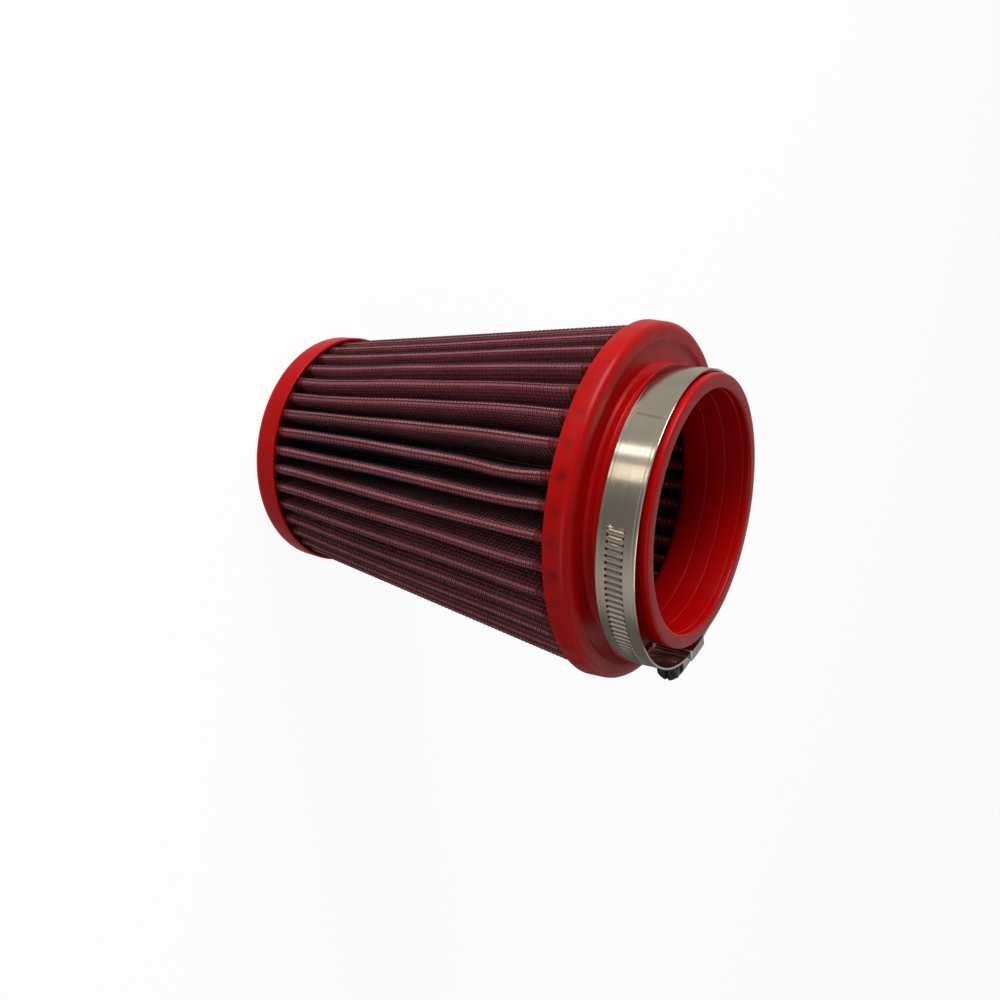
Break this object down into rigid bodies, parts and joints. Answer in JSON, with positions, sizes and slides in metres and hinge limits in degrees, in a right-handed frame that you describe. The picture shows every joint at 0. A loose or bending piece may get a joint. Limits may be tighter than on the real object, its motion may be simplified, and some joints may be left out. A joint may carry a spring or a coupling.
{
  "type": "cone air filter",
  "caption": "Clamp-on cone air filter with a pleated cotton pack, closed moulded end cap, moulded neck flange and worm-drive hose clamp.",
  "frame": {"origin": "centre of the closed end cap's flat outer face, which the filter stands on", "axes": "+Z along the filter's axis from the closed cap to the open neck; +X towards the side where the clamp's screw housing hangs"},
  "size_m": [0.1139, 0.1134, 0.15],
  "materials": {
    "moulded_red": "satin translucent moulding",
    "cotton": "oiled woven cotton",
    "wire": "coated wire mesh",
    "stainless": "bright rolled strip",
    "screw_steel": "plated"
  },
  "bodies": {
    "filter": {"base_flange": "moulded_red", "end_cap": "moulded_red", "cotton_gauze": "cotton", "outer_wire_screen": "wire", "inner_wire_screen": "wire"},
    "clamp": {"clamp_band": "stainless", "clamp_housing": "stainless"},
    "screw": {"clamp_screw": "screw_steel"}
  },
  "joints": [
    {"name": "clamp_turn", "type": "hinge", "parent": "filter", "child": "clamp", "pos_m": [0, 0, 0.1409], "axis": [0, 0, 1], "continuous": true},
    {"name": "screw_turn", "type": "hinge", "parent": "clamp", "child": "screw", "pos_m": [0.04999, 0.02095, 0.14017], "axis": [-0.4067, 0.913, -0.0319], "continuous": true}
  ]
}
